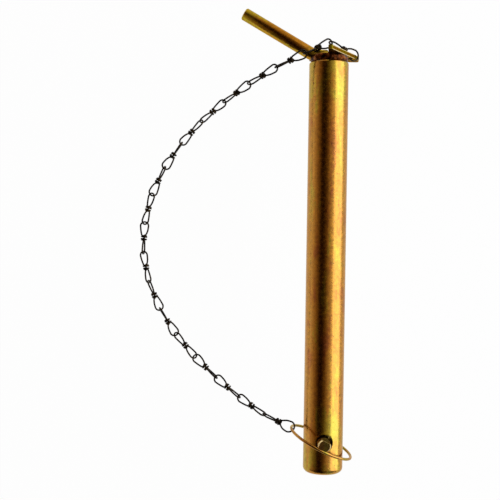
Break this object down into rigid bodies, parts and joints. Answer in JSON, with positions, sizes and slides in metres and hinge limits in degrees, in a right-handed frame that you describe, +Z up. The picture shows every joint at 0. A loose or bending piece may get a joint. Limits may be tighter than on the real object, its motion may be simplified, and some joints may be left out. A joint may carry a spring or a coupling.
{
  "type": "lower link pin",
  "caption": "Round steel hitch pin with a welded head plate and bent handle, a cross-drilled foot, and a sprung linch pin kept on a knotted wire chain.",
  "frame": {"origin": "on the shank's axis, at the shank's top face", "axes": "+Y along the shank toward the head, +Z up as the pin lies on its side, +X to the right"},
  "size_m": [0.1574, 0.3276, 0.0495],
  "materials": {
    "yellow_zinc": "yellow passivated zinc plate",
    "weld": "plated weld bead",
    "chain_wire": "dark steel wire"
  },
  "bodies": {
    "pin": {"shank": "yellow_zinc", "head_plate": "yellow_zinc", "handle": "yellow_zinc", "head_weld": "weld", "handle_weld": "weld", "chain_link_01": "chain_wire", "chain_link_02": "chain_wire", "chain_link_03": "chain_wire", "chain_link_04": "chain_wire", "chain_link_05": "chain_wire", "chain_link_06": "chain_wire", "chain_link_07": "chain_wire", "chain_link_08": "chain_wire", "chain_link_09": "chain_wire", "chain_link_10": "chain_wire", "chain_link_11": "chain_wire", "chain_link_12": "chain_wire", "chain_link_13": "chain_wire", "chain_link_14": "chain_wire", "chain_link_15": "chain_wire", "chain_link_16": "chain_wire", "chain_link_17": "chain_wire", "chain_link_18": "chain_wire", "chain_link_19": "chain_wire"},
    "linch_pin": {"linch_pin": "yellow_zinc"},
    "ring": {"linch_ring": "yellow_zinc"}
  },
  "joints": [
    {"name": "linch_slide", "type": "slide", "parent": "pin", "child": "linch_pin", "axis": [0, 0, -1], "range_m": [0, 0.008], "deforming": ["chain_link_19"]},
    {"name": "ring_hinge", "type": "hinge", "parent": "linch_pin", "child": "ring", "pos_m": [-0.0008, -0.267, -0.02039], "axis": [0.9063, -0.4226, 0], "range_deg": [0, 170], "stiffness_Nm_per_rad": 0.05, "deforming": ["chain_link_19"]}
  ]
}
